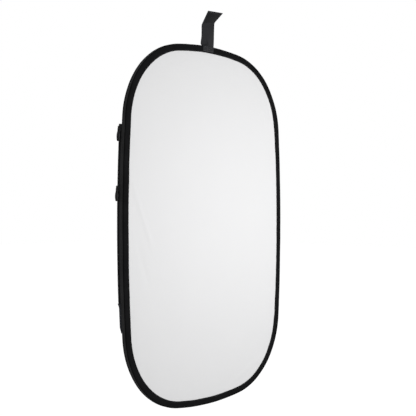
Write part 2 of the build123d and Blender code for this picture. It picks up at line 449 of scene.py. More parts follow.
def mottle_group():
    """Slow and fine unevenness of a surface, as a mask about 0.5, with a share of lint specks."""
    inputs = [
        ("Vector", "NodeSocketVector", None),
        ("Size", "NodeSocketFloat", 12.0),
        ("Lint", "NodeSocketFloat", 0.0),
    ]
    outputs = [("Mask", "NodeSocketFloat"), ("Lint", "NodeSocketFloat")]
    group, given, result = new_group("uneven_surface", inputs, outputs)
    place, size = given.outputs["Vector"], given.outputs["Size"]
    slow = add(group, "ShaderNodeTexNoise", Vector=place, Scale=size, Detail=4.0)
    fine = add(group, "ShaderNodeTexNoise", Vector=place, Scale=900.0, Detail=2.0)
    broad_share = maths(group, "MULTIPLY", slow.outputs["Fac"], 0.7)
    fine_share = maths(group, "MULTIPLY", fine.outputs["Fac"], 0.3)
    both = maths(group, "ADD", broad_share, fine_share)
    group.links.new(both, result.inputs["Mask"])
    specks = add(group, "ShaderNodeTexVoronoi", Vector=place, Scale=240.0)
    near = maths(group, "LESS_THAN", specks.outputs["Distance"], 0.10)
    kept = maths(group, "GREATER_THAN", slow.outputs["Fac"], 0.52)
    lint = maths(group, "MULTIPLY", maths(group, "MULTIPLY", near, kept), given.outputs["Lint"])
    group.links.new(lint, result.inputs["Lint"])
    return group


def place_group(tree, name, maker, **inputs):
    """Puts a shared node group in a material, and builds it the first time."""
    group = bpy.data.node_groups.get(name) or maker()
    return add(tree, "ShaderNodeGroup", {"node_tree": group}, **inputs)


def unevenness(tree, places, **inputs):
    """The uneven-surface group, on the piece's own coordinates."""
    return place_group(tree, "uneven_surface", mottle_group, Vector=places.outputs["Object"], **inputs)


def shader(name, roughness, specular=0.5, sheen=0.0, metallic=0.0, sheen_roughness=0.5):
    """A new material with its main shader, and the object's own coordinates."""
    material = bpy.data.materials.new(name)
    material.use_nodes = True
    tree = material.node_tree
    main = tree.nodes["Principled BSDF"]
    main.inputs["Roughness"].default_value = roughness
    main.inputs["Specular IOR Level"].default_value = specular
    main.inputs["Sheen Weight"].default_value = sheen
    main.inputs["Sheen Roughness"].default_value = sheen_roughness
    main.inputs["Metallic"].default_value = metallic
    places = tree.nodes.new("ShaderNodeTexCoord")
    return material, tree, main, places


def shade_between(tree, main, mask, dark, light):
    """Base colour that follows a mask from a darker to a lighter share of one colour."""
    mixed = add(tree, "ShaderNodeMix", {"data_type": "RGBA"}, Factor=mask)
    mixed.inputs[6].default_value = dark
    mixed.inputs[7].default_value = light
    tree.links.new(mixed.outputs[2], main.inputs["Base Color"])
    return mixed


def scaled_colour(base, share):
    """A colour made darker or lighter."""
    return tuple(min(1.0, part * share) for part in base[:3]) + (1.0,)


def bump(tree, main, height, distance, strength=1.0):
    """Relief from a height pattern."""
    node = add(tree, "ShaderNodeBump", Height=height, Distance=distance, Strength=strength)
    tree.links.new(node.outputs["Normal"], main.inputs["Normal"])


def upright(tree, places):
    """Object coordinates turned so that a pattern lies in the panel's own plane."""
    turned = add(tree, "ShaderNodeMapping", Vector=places.outputs["Object"])
    turned.inputs["Rotation"].default_value = (math.radians(90), 0, 0)
    return turned.outputs["Vector"]


def flat_weave(tree, places, threads):
    """The plain-weave group, lying in the panel's own plane."""
    return place_group(tree, "plain_weave", weave_group, Vector=upright(tree, places), Threads=threads)


def woven_cloth(name, base, roughness, threads, specular, spread, relief, sheen=0.0):
    """Plain-woven cloth of the flat faces. Its threads are per metre, and its relief is in millimetres."""
    material, tree, main, places = shader(name, roughness, specular, sheen)
    weave = flat_weave(tree, places, threads)
    uneven = unevenness(tree, places, Size=9.0)
    dark, light = scaled_colour(base, 1 - spread), scaled_colour(base, 1 + spread)
    shade_between(tree, main, uneven.outputs["Mask"], dark, light)
    bump(tree, main, weave.outputs["Height"], relief * MM)
    return material


def ribbed_cloth(name, base, roughness, ribs, threads, relief, sheen=0.0, specular=0.0, lint=0.0):
    """Ribbed or woven tape whose pattern follows its own length, with its relief in millimetres."""
    material, tree, main, places = shader(name, roughness, specular, sheen)
    ribbing = place_group(
        tree, "ribbed_tape", rib_group, Vector=places.outputs["UV"], Ribs=ribs, Threads=threads
    )
    uneven = unevenness(tree, places, Size=26.0, Lint=lint)
    # Painted shade: the base colour follows the rib height on top of a random mottle, darker in the grooves
    # between the ribs and lighter on their crowns.
    raised = maths(tree, "ADD", ribbing.outputs["Height"], 0.35)
    mottle_and_rib_shade = maths(tree, "MULTIPLY", uneven.outputs["Mask"], raised)
    mixed = shade_between(tree, main, mottle_and_rib_shade, scaled_colour(base, 0.55), scaled_colour(base, 1.7))
    specked = add(tree, "ShaderNodeMix", {"data_type": "RGBA"}, Factor=uneven.outputs["Lint"])
    tree.links.new(mixed.outputs[2], specked.inputs[6])
    specked.inputs[7].default_value = (0.12, 0.12, 0.12, 1)
    tree.links.new(specked.outputs[2], main.inputs["Base Color"])
    bump(tree, main, ribbing.outputs["Height"], relief * MM)
    return material


def lining_cloth(name, base):
    """Metallised cloth: thin foil on a weave, finely crinkled."""
    material, tree, main, places = shader(name, 0.32, metallic=0.9)
    weave = flat_weave(tree, places, 1400.0)
    crinkle = add(tree, "ShaderNodeTexNoise", Vector=places.outputs["Object"], Scale=160.0, Detail=3.0)
    # Painted shade: the colour follows the crinkles' height, darker in their hollows and lighter on their
    # crests.
    shade_between(tree, main, crinkle.outputs["Fac"], scaled_colour(base, 0.85), scaled_colour(base, 1.1))
    crinkled = maths(tree, "MULTIPLY", crinkle.outputs["Fac"], 3.0)
    height = maths(tree, "ADD", crinkled, weave.outputs["Height"])
    bump(tree, main, height, 0.08 * MM)
    return material


def worn_metal(name, base, roughness, metallic, coat):
    """Metal or enamel with fine scratches and a slightly uneven gloss."""
    material, tree, main, places = shader(name, roughness, 0.4, metallic=metallic)
    main.inputs["Coat Weight"].default_value = coat
    main.inputs["Coat Roughness"].default_value = 0.2
    uneven = unevenness(tree, places, Size=180.0)
    stretched = add(tree, "ShaderNodeMapping", Vector=places.outputs["Object"])
    stretched.inputs["Scale"].default_value = (1, 1, 0.05)
    along = stretched.outputs["Vector"]
    scratches = add(tree, "ShaderNodeTexNoise", Vector=along, Scale=2600.0, Detail=2.0)
    shade_between(tree, main, uneven.outputs["Mask"], scaled_colour(base, 0.7), scaled_colour(base, 1.5))
    rough = maths(tree, "ADD", maths(tree, "MULTIPLY", uneven.outputs["Mask"], 0.25), roughness - 0.1)
    tree.links.new(rough, main.inputs["Roughness"])
    bump(tree, main, scratches.outputs["Fac"], 0.02 * MM)
    return material


def moulded_nylon(name, base):
    """Satin nylon of the zip's coils and stops."""
    material, tree, main, places = shader(name, 0.38, 0.3)
    uneven = unevenness(tree, places, Size=320.0)
    shade_between(tree, main, uneven.outputs["Mask"], scaled_colour(base, 0.7), scaled_colour(base, 1.6))
    bump(tree, main, uneven.outputs["Mask"], 0.03 * MM)
    return material


def sewing_thread(name, base):
    """Twisted thread of the stitches."""
    material, tree, main, places = shader(name, 0.6, 0.15, 0.2)
    twist = add(tree, "ShaderNodeTexNoise", Vector=places.outputs["Object"], Scale=3000.0, Detail=1.0)
    # Painted shade: the colour follows the twist's height, darker in its hollows and lighter on its ridges.
    shade_between(tree, main, twist.outputs["Fac"], scaled_colour(base, 0.6), scaled_colour(base, 1.5))
    bump(tree, main, twist.outputs["Fac"], 0.05 * MM)
    return material


def hook_pile(name, base):
    """The short pile of a hook-and-loop pad."""
    material, tree, main, places = shader(name, 0.85, 0.08, 0.15)
    cells = add(tree, "ShaderNodeTexVoronoi", Vector=places.outputs["Object"], Scale=900.0)
    shade_between(tree, main, cells.outputs["Distance"], scaled_colour(base, 1.8), scaled_colour(base, 0.4))
    bump(tree, main, cells.outputs["Distance"], 0.5 * MM)
    return material


def translucent_cloth(name):
    """The thin white cloth of the diffuser, which lets light through."""
    material, tree, main, places = shader(name, 0.7, 0.2, 0.1)
    weave = flat_weave(tree, places, 1800.0)
    # Painted shade: the colour follows the weave's height, darker between the threads than on their crowns.
    shade_between(tree, main, weave.outputs["Height"], (0.80, 0.80, 0.80, 1), (0.90, 0.90, 0.90, 1))
    main.inputs["Transmission Weight"].default_value = 0.35
    bump(tree, main, weave.outputs["Height"], 0.04 * MM)
    return material


def finishes():
    """What makes each finish."""
    hue = bpy.context.scene.reflector_colours
    return {
        "white_cloth": lambda n: woven_cloth(
            n, hue.white_cloth, roughness=0.72, threads=2200.0, specular=0.25, spread=0.015, relief=0.035
        ),
        "black_cloth": lambda n: woven_cloth(
            n, hue.black_cloth, roughness=0.8, threads=1800.0, specular=0.12, spread=0.3, relief=0.08,
            sheen=0.05,
        ),
        "silver_lining": lambda n: lining_cloth(n, hue.silver),
        "gold_lining": lambda n: lining_cloth(n, hue.gold),
        "diffuser_cloth": translucent_cloth,
        "binding_tape": lambda n: ribbed_cloth(
            n, hue.binding, roughness=0.8, ribs=1100.0, threads=2200.0, relief=0.10, lint=0.15
        ),
        "gusset_cloth": lambda n: ribbed_cloth(
            n, hue.gusset, roughness=0.78, ribs=700.0, threads=1700.0, relief=0.14, sheen=0.03, specular=0.08,
            lint=0.2,
        ),
        "sleeve_tape": lambda n: ribbed_cloth(
            n, hue.gusset, roughness=0.75, ribs=900.0, threads=2000.0, relief=0.10, specular=0.2
        ),
        "zip_tape": lambda n: ribbed_cloth(
            n, hue.gusset, roughness=0.75, ribs=1600.0, threads=1600.0, relief=0.08, sheen=0.02, specular=0.14
        ),
        "garage_cloth": lambda n: ribbed_cloth(
            n, hue.garage, roughness=0.55, ribs=2000.0, threads=2000.0, relief=0.03, sheen=0.03, specular=0.25
        ),
        "tab_webbing": lambda n: ribbed_cloth(
            n, hue.webbing, roughness=0.75, ribs=1300.0, threads=500.0, relief=0.12, specular=0.02, lint=0.2
        ),
        "zip_coil": lambda n: moulded_nylon(n, hue.zip_nylon),
        "slider_metal": lambda n: worn_metal(n, hue.enamel, roughness=0.42, metallic=0.0, coat=0.12),
        "pull_metal": lambda n: worn_metal(n, hue.enamel, roughness=0.45, metallic=0.0, coat=0.10),
        "pull_grip": lambda n: moulded_nylon(n, hue.zip_nylon),
        "spring_steel": lambda n: worn_metal(n, (0.30, 0.31, 0.34), roughness=0.3, metallic=1.0, coat=0.0),
        "ferrule_metal": lambda n: worn_metal(n, (0.55, 0.55, 0.56), roughness=0.35, metallic=1.0, coat=0.0),
        "hook_pad": lambda n: hook_pile(n, (0.014, 0.014, 0.015)),
        "seam_thread": lambda n: sewing_thread(n, (0.018, 0.018, 0.019)),
        "tab_thread": lambda n: sewing_thread(n, (0.055, 0.055, 0.058)),
    }


def finish(name):
    """The finish of that name, built the first time it is asked for."""
    label = f"{name}_finish"
    return bpy.data.materials.get(label) or finishes()[name](label)


# Cloth faces.


def crease(x, z, start, end, width):
    """Height of a soft fold line at a place, from 0 to 1."""
    line = Vector(end) - Vector(start)
    there = Vector((x, z)) - Vector(start)
    share = there.dot(line) / line.length_squared
    off = (there - line * share).length
    fade = max(0.0, min(1.0, 4 * share)) * max(0.0, min(1.0, 4 * (1 - share)))
    return math.exp(-((off / width) ** 2)) * fade


# Each crease: its two ends (x, z), its width in metres, and its height, below 0 where it is a hollow.
FRONT_CREASES = (
    ((-0.285, 0.130), (-0.196, -0.075), 0.006, 0.8),
    ((-0.262, -0.020), (-0.215, -0.150), 0.008, -0.5),
    ((0.085, -0.418), (0.200, -0.362), 0.006, 0.7),
    ((-0.165, 0.412), (-0.120, 0.365), 0.007, 0.6),
    ((0.080, 0.425), (0.110, 0.372), 0.007, 0.6),
    ((0.205, 0.330), (0.255, 0.250), 0.009, 0.4),
)
BACK_CREASES = (
    ((0.262, -0.160), (0.150, 0.060), 0.009, 0.8),
    ((-0.220, 0.300), (-0.120, 0.180), 0.010, 0.7),
    ((-0.140, -0.400), (0.020, -0.330), 0.008, 0.6),
)


def face_relief(place, edge_distance, creases, seed):
    """How far a face stands out at a place, in metres. It lies flat under its binding."""
    free = max(0.0, edge_distance - BOUND)
    broad = 1.0 + 0.9 * ripple(place, 0.26, seed) + 0.3 * ripple(place, 0.09, seed + 3)
    pucker = 1.5 * ripple(place, 0.014, seed + 5) * math.exp(-free / 0.014)
    gather = 0.9 * ripple(place, 0.034, seed + 7) * math.exp(-free / 0.035)
    folds = 2.0 * sum(
        height * crease(place.x, place.z, start, end, width) for start, end, width, height in creases
    )
    held = 1 - math.exp(-free / 0.025)
    return max(-0.3, (broad + folds) * held + (pucker + gather) * (1 - math.exp(-free / 0.008))) * MM


def cloth_face(sizes, inset, level, outwards, creases, seed, step, rings):
    """An oval sheet, drawn in ring by ring from its sewn edge to its middle."""
    bm = bmesh.new()
    inward = bm.verts.layers.float.new("inward")
    edge = [place @ Vector((inset, level, 0)) for place, _ in rim_stations(sizes, step)[:-1]]
    edges = ring_of(bm, edge)[1]
    size = 1.0
    for k in range(1, rings):
        share = 1 - (k / rings) ** 1.25
        _, verts, edges = next_ring(bm, edges)
        bmesh.ops.scale(bm, vec=(share / size, 1, share / size), verts=verts)
        size = share
        for vert in verts:
            vert[inward] = Vector((vert.co.x, vert.co.z)).length * (1 / share - 1)
    bmesh.ops.pointmerge(bm, verts=verts, merge_co=(0, level, 0))
    for vert in bm.verts:
        relief = face_relief(vert.co, vert[inward], creases, seed) if creases else 0.0
        vert.co.y += outwards * relief
    for face in bm.faces:
        face.normal_update()
        if face.normal.y * outwards < 0:
            face.normal_flip()
    return bm


def sewn_sheet(sizes, name, inset, level, outwards, creases, seed, node, thick, slot):
    """A stretched oval sheet of cloth as a piece, given its thickness by a Solidify modifier."""
    step, rings = (5 * MM, 64) if creases else (12 * MM, 24)
    bm = cloth_face(sizes, inset, level, outwards, creases, seed, step, rings)
    piece = make_object(bm, name, finish(slot), "cover", (node,))
    body = piece.modifiers.new("cloth_thickness", "SOLIDIFY")
    body.thickness = thick
    body.offset = -1
    return piece


class REFLECTOR_OT_faces(bpy.types.Operator):
    """Make the white front face and the black back face"""

    bl_idname = "reflector.faces"
    bl_label = "Cloth Faces"

    def execute(self, context):
        sizes = context.scene.reflector_sizes
        inset = 1.4 * MM
        front = binding_high.y
        sewn_sheet(
            sizes, "white_face", inset, level=front, outwards=-1, creases=FRONT_CREASES, seed=2.0,
            node="front_cloth", thick=sizes.cloth_thick, slot="white_cloth",
        )
        sewn_sheet(
            sizes, "black_face", inset, level=-front, outwards=1, creases=BACK_CREASES, seed=31.0,
            node="rear_cloth", thick=sizes.cloth_thick, slot="black_cloth",
        )
        return {"FINISHED"}


class REFLECTOR_OT_core(bpy.types.Operator):
    """Make the linings, the diffuser and the sleeve round the sprung hoop"""

    bl_idname = "reflector.core"
    bl_label = "Linings and Core"

    def execute(self, context):
        sizes = context.scene.reflector_sizes
        lining = sleeve_low.y - 0.02 * MM
        inset = 1.6 * MM
        sewn_sheet(
            sizes, "silver_lining", inset, level=lining, outwards=-1, creases=(), seed=5.0,
            node="front_lining", thick=0.2 * MM, slot="silver_lining",
        )
        sewn_sheet(
            sizes, "gold_lining", inset, level=-lining, outwards=1, creases=(), seed=8.0,
            node="rear_lining", thick=0.2 * MM, slot="gold_lining",
        )
        inset = sizes.half_width - diffuser_high.x
        sewn_sheet(
            sizes, "diffuser_sheet", inset, level=diffuser_low.y / 2, outwards=-1, creases=(), seed=11.0,
            node="core_diffuser", thick=0.3 * MM, slot="diffuser_cloth",
        )
        outer = (sizes.half_width - sleeve_high.x) / MM
        half, seam, wall = -sleeve_low.y / MM, 0.55, 0.35
        reach = outer + 11.0
        folded = [
            (reach, -seam - wall), (outer + 5, -half), (outer, -half), (outer, half), (outer + 5, half),
            (reach, seam + wall), (reach, seam), (outer + 5.2, half - wall), (outer + wall, half - wall),
            (outer + wall, wall - half), (outer + 5.2, wall - half), (reach, -seam),
        ]
        bm = sweep(polygon_section(folded, 0.8 * MM, 2), rim_stations(sizes, 16 * MM), True)
        make_object(
            bm, "core_sleeve", finish("sleeve_tape"), "cover",
            ("core_sleeve_front", "core_sleeve_rear"),
        )
        for node, name in (("hoop_band", "spring_steel"), ("hoop_ferrule", "ferrule_metal"),
                           ("hoop_rivets", "ferrule_metal")):
            dress(node, name)
        return {"FINISHED"}


def dress(node, name):
    """Gives a frame node its finish."""
    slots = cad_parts[node].data.materials
    slots.clear()
    slots.append(finish(name))


# Edge: the two bindings and the gusset between them.


def binding_section(sizes, side):
    """The folded tape: domed over its face, rounded over the rim and lapped on the gusset."""
    width = sizes.binding_width
    level = -binding_high.y
    thick = binding_high.y - binding_low.y
    dome = sizes.binding_dome
    over = [(width - 0.1 * MM, 0.0), (width + 0.15 * MM, 0.45 * MM), (width - 0.25 * MM, 0.95 * MM)]
    for k in range(1, 10):
        share = k / 10
        over.append((width * (1 - share), thick + dome * math.sin(math.pi * share) ** 0.8))
    over += [(0.9 * MM, thick), (0.25 * MM, thick - 0.35 * MM), (-0.2 * MM, 0.25 * MM)]
    over += [(-0.4 * MM, -0.6 * MM), (-0.42 * MM, -1.7 * MM), (-0.2 * MM, -2.05 * MM)]
    over += [(0.05 * MM, -1.8 * MM), (0.1 * MM, 0.0)]
    return [(s, side * (level + out)) for s, out in over]


# Shares by which the front tape is wider on the right: all along it, and more at its two shoulders.
TAPE_WIDER, SHOULDER_WIDER = 0.06, 0.19
SHOULDER_LEVEL, SHOULDER_SPREAD = 0.275, 0.08


def wandering(stations):
    """The same frames, stretched inwards on the right, where the front tape was sewn on wider."""
    wider = []
    for place, run in stations:
        right = ease(place.translation.x, 0.16, 0.25)
        shoulder = math.exp(-(((abs(place.translation.z) - SHOULDER_LEVEL) / SHOULDER_SPREAD) ** 2))
        width = 1 + right * (TAPE_WIDER + SHOULDER_WIDER * shoulder)
        wider.append((place @ Matrix.Diagonal((width, 1, 1, 1)), run))
    return wider


def seam_places(sizes, inset, depth):
    """Places of a row of stitches round the outline."""
    stations = rim_stations(sizes, sizes.stitch_pitch)[:-1]
    if depth < 0:
        stations = wandering(stations)
    lift = Matrix.Translation(Vector((inset, depth, 0)))
    return [place @ lift for place, _ in stations]


def stitch_row(sizes, name, inset, depth, finish_name):
    """A row of stitches as one piece."""
    unit = bead(sizes.thread, sizes.thread, sizes.stitch_pitch * 0.78, sizes.thread * 0.3)
    bm = repeat(unit, seam_places(sizes, inset, depth))
    return make_object(bm, name, finish(finish_name), "cover")


def press_under_zip(bm, sizes):
    """Presses the binding's lap flat where the zip's tape is sewn over it."""
    flat = 0.1 * MM
    for vert in bm.verts:
        out = Vector((vert.co.x - sizes.side_radius + sizes.half_width, 0, vert.co.z))
        proud = out.length - sizes.side_radius
        if vert.co.x < 0 and proud > flat:
            covered = 1 - ease(abs(vert.co.z), tape_high.z, tape_high.z + 6 * MM)
            vert.co -= out.normalized() * ((proud - flat) * covered)


class REFLECTOR_OT_bindings(bpy.types.Operator):
    """Make the binding tapes of both faces with their stitching"""

    bl_idname = "reflector.bindings"
    bl_label = "Bindings"

    def execute(self, context):
        sizes = context.scene.reflector_sizes
        stations = rim_stations(sizes, 5 * MM)
        for side, name, seed in ((-1, "front_binding", 3.0), (1, "rear_binding", 17.0)):
            bm = sweep(binding_section(sizes, side), wandering(stations) if side < 0 else stations, True)
            ruffle(bm, 0.045, 0.45 * MM, 0.18 * MM, seed)
            ruffle(bm, 0.011, 0.14 * MM, 0.12 * MM, seed + 2)
            if side > 0:
                press_under_zip(bm, sizes)
            tape = finish("binding_tape")
            make_object(bm, f"{name}_tape", tape, "cover", (name,), 50)
            proud = side * (-binding_low.y + 0.30 * MM)
            inner = sizes.binding_width - 2.2 * MM
            stitch_row(sizes, f"{name}_seam", inner, proud, "seam_thread")
        return {"FINISHED"}


class REFLECTOR_OT_gusset(bpy.types.Operator):
    """Make the cloth strip that joins the two faces round the edge"""

    bl_idname = "reflector.gusset"
    bl_label = "Edge Gusset"

    def execute(self, context):
        sizes = context.scene.reflector_sizes
        half = gusset_high.y + 0.3 * MM
        steps = 9
        outer = [
            (0.15 * MM - 0.5 * MM * math.sin(math.pi * k / steps), half * (2 * k / steps - 1))
            for k in range(steps + 1)
        ]
        inner = [(1.1 * MM, half), (1.1 * MM, -half)]
        bm = sweep(outer + inner, rim_stations(sizes, 4 * MM), True)

        def loose(vert):
            return max(0.0, 1 - (vert.co.y / half) ** 2)

        ruffle(bm, 0.011, 0.55 * MM, 0.0, 41.0, loose)
        ruffle(bm, 0.05, 0.45 * MM, 0.15 * MM, 47.0, loose)
        cloth = finish("gusset_cloth")
        make_object(bm, "gusset_strip", cloth, "cover", ("edge_gusset",), 60)
        return {"FINISHED"}


# Zip: tapes, coils, welt, pocket and lower stop. The upper stop, sliders and pulls keep the frame's shapes.


def coil_row(sizes, name, inner, outer, offset, node):
    """One row of the zip's coil as a piece."""
    first, last = coil_low.z + sizes.tooth_pitch * (1 + offset), coil_high.z - sizes.tooth_pitch
    stations = side_stations(sizes, first, last, sizes.tooth_pitch)
    lift = Matrix.Translation(Vector((-TAPE_PROUD, 0, 0)))
    middle = (-COIL_PROUD / 2, (inner + outer) / 2, 0)
    pitch = sizes.tooth_pitch
    unit = bead(COIL_PROUD, abs(outer - inner), pitch * 0.52, pitch * 0.22, middle)
    bm = repeat(unit, [place @ lift for place, _ in stations])
    tuck(bm, sizes)
    return make_object(bm, name, finish("zip_coil"), "cover", (node,))


# Shares by which the zip's lower end is drawn in, out from the edge and in depth, and pinched beyond that.
DRAWN_OUT, DRAWN_DEEP = 0.42, 0.48
PINCHED_OUT, PINCHED_DEEP = 0.40, 0.36


def tuck(bm, sizes):
    """Draws the zip's lower end in towards the edge, and pinches the pocket's end."""
    for vert in bm.verts:
        out = Vector((vert.co.x - sizes.side_radius + sizes.half_width, 0, vert.co.z))
        proud = max(0.0, out.length - sizes.side_radius - TAPE_PROUD)
        deep = max(0.0, vert.co.y + binding_low.y)
        drawn = 1 - ease(vert.co.z, garage_high.z - 12 * MM, garage_high.z + 4 * MM)
        pinched = 1 - ease(vert.co.z, garage_low.z, garage_low.z + 14 * MM)
        vert.co -= out.normalized() * (proud * (DRAWN_OUT * drawn + PINCHED_OUT * pinched))
        vert.co.y -= deep * (DRAWN_DEEP * drawn + PINCHED_DEEP * pinched)


class REFLECTOR_OT_zip(bpy.types.Operator):
    """Make the zip's tapes and coils, the welt behind them and the pocket at the lower end"""

    bl_idname = "reflector.zip"
    bl_label = "Zip"

    def execute(self, context):
        sizes = context.scene.reflector_sizes
        low, high = tape_low.z, tape_high.z
        stations = side_stations(sizes, low, high, 4 * MM)
        middle = (tape_high.y + rear_tape_low.y) / 2
        near = rounded_section(0.05 * MM, -TAPE_PROUD, tape_low.y, tape_high.y, 0.18 * MM, 2)
        bm = sweep(near, stations, False)

        def free_edge(vert):
            return max(0.0, min(1.0, (middle - vert.co.y) / 0.006))

        ruffle(bm, 0.03, 0.12 * MM, 0.25 * MM, 61.0, free_edge)
        tuck(bm, sizes)
        make_object(bm, "zip_tape_near", finish("zip_tape"), "cover", ("zip_tape_front",))
        far = rounded_section(0.05 * MM, -TAPE_PROUD, rear_tape_low.y, rear_tape_high.y, 0.18 * MM, 2)
        bm = sweep(far, stations, False)
        tuck(bm, sizes)
        make_object(bm, "zip_tape_far", finish("zip_tape"), "cover", ("zip_tape_rear",))
        lap = 0.35 * MM
        coil_row(sizes, "zip_coil_near", coil_low.y, middle + lap, 0.0, "zip_coil_front")
        coil_row(sizes, "zip_coil_far", middle - lap, rear_coil_high.y, 0.5, "zip_coil_rear")
        self.welt(sizes, stations)
        self.garage(sizes)
        self.bottom_stop(sizes)
        dress("zip_top_stop", "zip_coil")
        return {"FINISHED"}

    def bottom_stop(self, sizes):
        """The lower end stop, drawn in with the zip inside the pocket."""
        bm = bmesh.new()
        bm.from_mesh(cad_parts["zip_bottom_stop"].data)
        bmesh.ops.remove_doubles(bm, verts=bm.verts, dist=0.01 * MM)
        tuck(bm, sizes)
        nylon = finish("zip_coil")
        make_object(bm, "zip_lower_stop", nylon, "cover", ("zip_bottom_stop",))

    def welt(self, sizes, stations):
        """The folded cloth behind the coils."""
        welt_low, welt_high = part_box("zip_welt")
        back, top = welt_low.y / MM, welt_high.y / MM
        section = [
            (1.8, back), (1.8, top - 1.0), (0.0, top - 1.0), (0.1, top), (2.8, top + 0.1),
            (8.0, back + 4.2), (14.0, back + 0.7), (14.2, back),
        ]
        bm = sweep(polygon_section(section, 0.9 * MM, 3), stations, False)

        def slack(vert):
            outward = -(vert.co.x + sizes.half_width) / MM
            return max(0.0, min(1.0, (-outward - 3.0) / 6.0))

        ruffle(bm, 0.028, 0.3 * MM, 0.9 * MM, 71.0, slack)
        tuck(bm, sizes)
        cloth = finish("gusset_cloth")
        make_object(bm, "zip_welt_fold", cloth, "cover", ("zip_welt",), 50)

    def garage(self, sizes):
        """The cloth pocket over the zip's lower end."""
        near, far = garage_low.y / MM, garage_high.y / MM
        section = [
            (-0.5, near), (-3.2, near + 0.3), (-3.75, near + 2.2), (-3.75, far - 2.4), (-3.1, far - 0.2),
            (1.0, far), (1.0, far - 0.5), (-2.5, far - 0.8), (-3.2, far - 2.6), (-3.2, near + 2.4),
            (-2.7, near + 0.9), (-0.5, near + 0.6),
        ]
        stations = side_stations(sizes, garage_low.z, garage_high.z, 3 * MM)
        bm = sweep(polygon_section(section, 0.4 * MM, 2), stations, False)
        ruffle(bm, 0.018, 0.25 * MM, 0.15 * MM, 83.0)
        tuck(bm, sizes)
        cloth = finish("garage_cloth")
        make_object(bm, "zip_garage_pocket", cloth, "cover", ("zip_garage",), 55)


class REFLECTOR_OT_sliders(bpy.types.Operator):
    """Finish the sliders and their pulls in black enamel"""

    bl_idname = "reflector.sliders"
    bl_label = "Sliders"

    def execute(self, context):
        for level in ("upper", "lower"):
            dress(f"{level}_slider_body", "slider_metal")
            dress(f"{level}_slider_base", "slider_metal")
            dress(f"{level}_pull", "pull_metal")
            self.grip(context.scene.reflector_sizes, level)
        return {"FINISHED"}

    def grip(self, sizes, level):
        """The moulded grip on a pull's plate: thick in its middle, with shallow ridges."""
        low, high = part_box(f"{level}_pull")
        centre = (low.y + high.y) / 2
        wide, thick, proud = 4.6 * MM, 2.65 * MM, 6.05 * MM
        section = []
        for k in range(20):
            angle = math.tau * k / 20
            across, deep = math.cos(angle), math.sin(angle)
            squared = [math.copysign(abs(part) ** 0.8, part) for part in (across, deep)]
            section.append(tuple(squared))
        frames = side_stations(sizes, low.z - 0.6 * MM, low.z + 21.4 * MM, 0.55 * MM)
        stations = []
        for place, run in frames:
            share = run / frames[-1][1]
            full = math.sin(math.pi * (0.08 + 0.8 * share)) ** 0.6
            ridge = 1 + 0.035 * math.cos(math.tau * 7 * share) * full
            size = Matrix.Diagonal((thick * full * ridge, wide * full**0.6 * ridge, 1, 1))
            stations.append((place @ Matrix.Translation((-proud, centre, 0)) @ size, run))
        bm = sweep(section, stations, False)
        make_object(bm, f"{level}_pull_grip", finish("pull_grip"), f"{level}_pull")


# Hanging tab.


def tab_section(sizes):
    """Doubled webbing: ribbed on both faces, with a groove between the layers at each side."""
    half = (strap_high.x - strap_low.x) / 2
    thick = (strap_high.y - strap_low.y) / 2
    ribs = round(2 * half / sizes.tab_rib)
    steps = ribs * 4
    front = []
    for k in range(steps + 1):
        across = half * (2 * k / steps - 1)
        rib = 0.16 * MM * abs(math.sin(math.pi * ribs * k / steps))
        edge = 0.35 * MM * (abs(across) / half) ** 12
        front.append((across, -thick + 0.12 * MM - rib + edge))
    back = [(across, -depth) for across, depth in reversed(front)]
    groove = half - 0.35 * MM
    return front + [(groove, 0.0)] + back + [(-groove, 0.0)]


def ease(value, start, end):
    """Smooth rise from 0 at the start to 1 at the end."""
    share = max(0.0, min(1.0, (value - start) / (end - start)))
    return share * share * (3 - 2 * share)


def tab_corners(sizes):
    """Where the tab's left and right edges turn: distance from the foot's hinge, left point, right point."""
    left, right = strap_low.x, strap_high.x
    level = (strap_low.y + strap_high.y) / 2
    foot, hinge, fold = patch_low.z, strap_low.z, strap_high.z
    aside = sizes.tab_sideways
    return [
        (foot - hinge, Vector((left, level, foot)), Vector((right, level, foot))),
        (-1.5 * MM, Vector((left, level, hinge - 1.5 * MM)), Vector((right, level, hinge - 1.5 * MM))),
        (
            3 * MM,
            Vector((left, level + 4.3 * MM, hinge + 3 * MM)),
            Vector((right, level - 0.5 * MM, hinge + 3 * MM)),
        ),
        (
            fold - hinge,
            Vector((left + 0.5 * MM, level + 4.4 * MM, fold - 5.7 * MM)),
            Vector((right - 1.8 * MM, level - 4.4 * MM, fold + 3.9 * MM)),
        ),
        (
            fold - hinge + 37 * MM,
            Vector((left + aside, level - 12.1 * MM, fold + 28.2 * MM)),
            Vector((right - 3.9 * MM + aside, level - 29.3 * MM, fold + 25.4 * MM)),
        ),
    ]


def tab_edges(corners, run):
    """The tab's left and right edges at one distance from its hinge, before its bends are rounded."""
    n = 1
    while n < len(corners) - 1 and run > corners[n][0]:
        n += 1
    start, left, right = corners[n - 1]
    end, next_left, next_right = corners[n]
    share = (run - start) / (end - start)
    return left.lerp(next_left, share), right.lerp(next_right, share)


def tab_frames(sizes, start, end, step):
    """Frames along the tab between two distances from its hinge, each with its distance."""
    corners = tab_corners(sizes)
    width = strap_high.x - strap_low.x
    reach = 3.5 * MM

    def middles(run):
        pairs = [tab_edges(corners, run + reach * k / 4) for k in range(-4, 5)]
        left = sum((pair[0] for pair in pairs), Vector()) / len(pairs)
        right = sum((pair[1] for pair in pairs), Vector()) / len(pairs)
        return (left + right) / 2, (right - left) / width

    count = max(2, round((end - start) / step))
    stations = []
    for n in range(count + 1):
        run = start + (end - start) * n / count
        middle, across = middles(run)
        along = (middles(run + 0.5 * MM)[0] - middles(run - 0.5 * MM)[0]).normalized()
        place = Matrix.Identity(4)
        place.col[0] = (*across, 0)
        place.col[1] = (*along.cross(across).normalized(), 0)
        place.col[2] = (*along, 0)
        place.col[3] = (*middle, 1)
        stations.append((place, run))
    return stations


